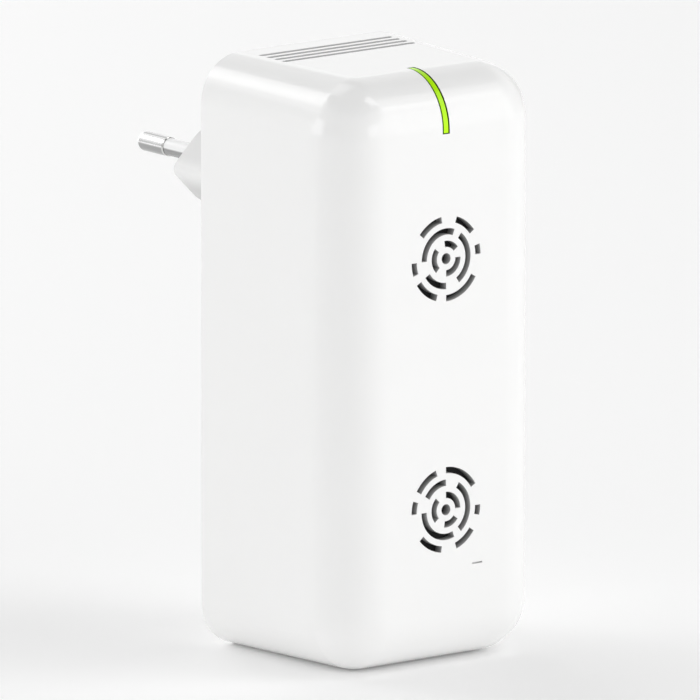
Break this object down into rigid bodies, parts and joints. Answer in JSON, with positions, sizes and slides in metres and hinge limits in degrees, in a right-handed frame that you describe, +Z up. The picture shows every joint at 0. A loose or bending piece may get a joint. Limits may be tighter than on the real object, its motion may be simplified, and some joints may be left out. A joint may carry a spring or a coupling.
{
  "type": "ultrasonic pest repeller",
  "caption": "Plug-in ultrasonic pest repeller: tall rounded white housing, round slotted tweeter grilles in front, green light strip at the top edge, plug on a deep boss behind.",
  "frame": {"origin": "midway between the two plug pins, on the boss's engagement face that meets the socket", "axes": "+Y along the pins into the socket, +Z up, +X to the right as seen from the front; the front face looks along -Y"},
  "size_m": [0.0542, 0.088, 0.122],
  "materials": {
    "white_gloss": "polished white ABS",
    "white_satin": "white ABS, fine satin",
    "green_acrylic": "yellow-green tinted acrylic",
    "nickel": "bright nickel plate on brass",
    "sleeve_grey": "pale grey moulded nylon",
    "wire_brown": "soft PVC insulation",
    "wire_blue": "soft PVC insulation",
    "board_green": "solder-resist varnish on laminate",
    "screw_steel": "zinc-plated steel",
    "tinned_wire": "tinned copper wire",
    "core_steel": "varnished steel laminations",
    "bobbin_ivory": "moulded nylon",
    "winding_copper": "enamelled copper wire",
    "film_yellow": "moulded capacitor case",
    "can_navy": "shrink sleeve on aluminium cans",
    "black_resin": "moulded epoxy",
    "varistor_blue": "dipped epoxy coat",
    "resistor_tan": "lacquered resistor bodies",
    "lamp_green": "tinted epoxy lens",
    "foam_black": "closed-cell foam",
    "screen_black": "fine woven dust cloth",
    "basket_black": "moulded black ABS",
    "cone_black": "black paper pulp",
    "piezo_brass": "brass plate with ceramic layer"
  },
  "bodies": {
    "housing": {"front_shell": "white_gloss", "rear_cover": "white_satin", "light_pipe": "green_acrylic", "plug_boss": "white_satin", "plug_boss_screws": "screw_steel", "plug_pin_left": "nickel", "plug_pin_right": "nickel", "pin_sleeve_left": "sleeve_grey", "pin_sleeve_right": "sleeve_grey", "live_wire": "wire_brown", "neutral_wire": "wire_blue", "main_board": "board_green", "board_screws": "screw_steel", "transformer_core": "core_steel", "transformer_bobbin": "bobbin_ivory", "transformer_winding": "winding_copper", "film_capacitor": "film_yellow", "electrolytic_capacitors": "can_navy", "fuse": "black_resin", "varistor": "varistor_blue", "bridge_rectifier": "black_resin", "controller_chip": "black_resin", "drive_transistors": "black_resin", "resistors": "resistor_tan", "indicator_led": "lamp_green", "led_legs": "tinned_wire", "upper_gasket": "foam_black", "lower_gasket": "foam_black", "upper_dust_screen": "screen_black", "lower_dust_screen": "screen_black", "upper_basket": "basket_black", "lower_basket": "basket_black", "speaker_leads": "tinned_wire", "speaker_screws": "screw_steel", "case_screws": "screw_steel"},
    "upper_diaphragm": {"upper_cone": "cone_black", "upper_piezo_disc": "piezo_brass"},
    "lower_diaphragm": {"lower_cone": "cone_black", "lower_piezo_disc": "piezo_brass"}
  },
  "joints": [
    {"name": "upper_cone_travel", "type": "slide", "parent": "housing", "child": "upper_diaphragm", "axis": [0, -1, 0], "range_m": [-0.0001, 0.0001], "stiffness_N_per_m": 300},
    {"name": "lower_cone_travel", "type": "slide", "parent": "housing", "child": "lower_diaphragm", "axis": [0, -1, 0], "range_m": [-0.0001, 0.0001], "stiffness_N_per_m": 300}
  ]
}
